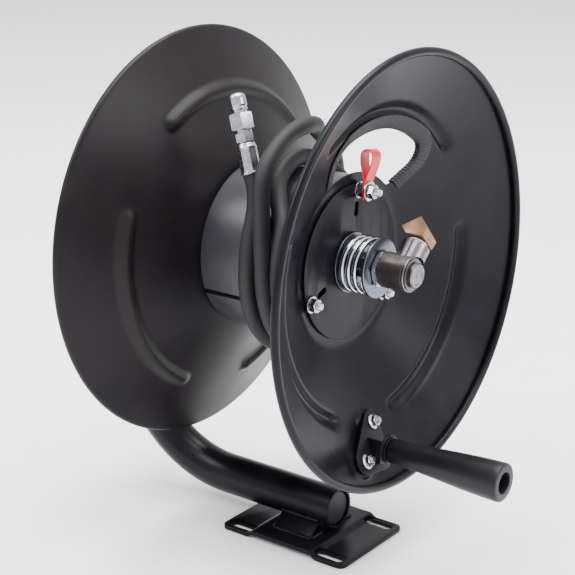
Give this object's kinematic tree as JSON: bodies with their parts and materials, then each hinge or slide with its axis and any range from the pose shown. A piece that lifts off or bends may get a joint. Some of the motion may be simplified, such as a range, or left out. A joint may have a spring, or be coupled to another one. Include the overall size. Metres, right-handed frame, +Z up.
{
  "type": "pressure hose reel on an arm",
  "caption": "Hand-cranked hose reel with dished flanges and a drum on a bent tube arm, with a spring brake, an inlet swivel and a hose with fittings.",
  "frame": {"origin": "on the floor, under the middle of the overall length and of the reel's depth, cords left out", "axes": "+X along the reel's axle towards the crank, +Y to the back, +Z up"},
  "size_m": [0.5178, 0.4402, 0.5295],
  "materials": {
    "black_powder_coat": "semi-gloss black powder coat",
    "black_plastic": "satin moulded",
    "black_rubber": "matte",
    "red_vinyl": "soft sheet vinyl, satin",
    "bright_zinc": "bright zinc plated",
    "chromed_spring_steel": "polished",
    "turned_steel": "turned",
    "phosphated_steel": "dark phosphated, oiled",
    "brass": "dull brass, sawn and forged",
    "brake_lining": "pressed friction lining"
  },
  "bodies": {
    "stand": {"base_plate": "black_powder_coat", "arm_saddle": "black_powder_coat", "arm_tube": "black_powder_coat", "arm_end_plug": "black_plastic", "axle_housing": "black_powder_coat", "axle_shaft": "turned_steel", "axle_cross_pin": "bright_zinc", "brake_disc": "brake_lining", "spring_seat_washer": "bright_zinc", "brake_spring": "chromed_spring_steel", "brake_washer": "bright_zinc", "brake_nut": "turned_steel", "swivel_circlip": "turned_steel"},
    "swivel": {"swivel_body": "phosphated_steel", "swivel_seal_1": "black_rubber", "swivel_seal_2": "black_rubber", "port_collar": "turned_steel", "inlet_elbow": "brass"},
    "reel": {"drum_shell": "black_powder_coat", "near_flange": "black_powder_coat", "far_flange": "black_powder_coat", "edge_trim": "black_rubber", "near_hub_disc": "black_powder_coat", "far_hub_disc": "black_powder_coat", "near_bush": "turned_steel", "far_bush": "turned_steel", "tie_rod_1": "bright_zinc", "tie_rod_2": "bright_zinc", "tie_rod_3": "bright_zinc", "near_rod_washer_1": "bright_zinc", "near_rod_washer_2": "bright_zinc", "near_rod_washer_3": "bright_zinc", "near_rod_nut_1": "bright_zinc", "near_rod_nut_2": "bright_zinc", "near_rod_nut_3": "bright_zinc", "far_rod_nut_1": "bright_zinc", "far_rod_nut_2": "bright_zinc", "far_rod_nut_3": "bright_zinc", "strap_loop": "red_vinyl", "strap_washer": "bright_zinc", "strap_nut": "bright_zinc", "manifold_sleeve": "turned_steel", "outlet_pipe": "brass", "crank_bracket": "black_powder_coat", "crank_bolt_1": "bright_zinc", "crank_bolt_2": "bright_zinc", "crank_nut_1": "bright_zinc", "crank_nut_2": "bright_zinc", "grip_spindle": "bright_zinc", "spindle_collar": "black_powder_coat", "spindle_nut": "bright_zinc", "hose": "black_rubber", "hose_inlet_ferrule": "bright_zinc", "hose_ferrule": "bright_zinc", "hose_swivel_nut": "bright_zinc", "quick_connect_plug": "bright_zinc"},
    "grip": {"crank_grip": "black_plastic"}
  },
  "joints": [
    {"name": "reel_spin", "type": "hinge", "parent": "stand", "child": "reel", "pos_m": [-0.0027, 0, 0.31], "axis": [1, 0, 0], "continuous": true},
    {"name": "inlet_swivel", "type": "hinge", "parent": "stand", "child": "swivel", "pos_m": [0.12282, 0, 0.31], "axis": [1, 0, 0], "continuous": true},
    {"name": "grip_spin", "type": "hinge", "parent": "reel", "child": "grip", "pos_m": [0.1323, -0.02646, 0.13297], "axis": [1, 0, 0], "continuous": true}
  ]
}
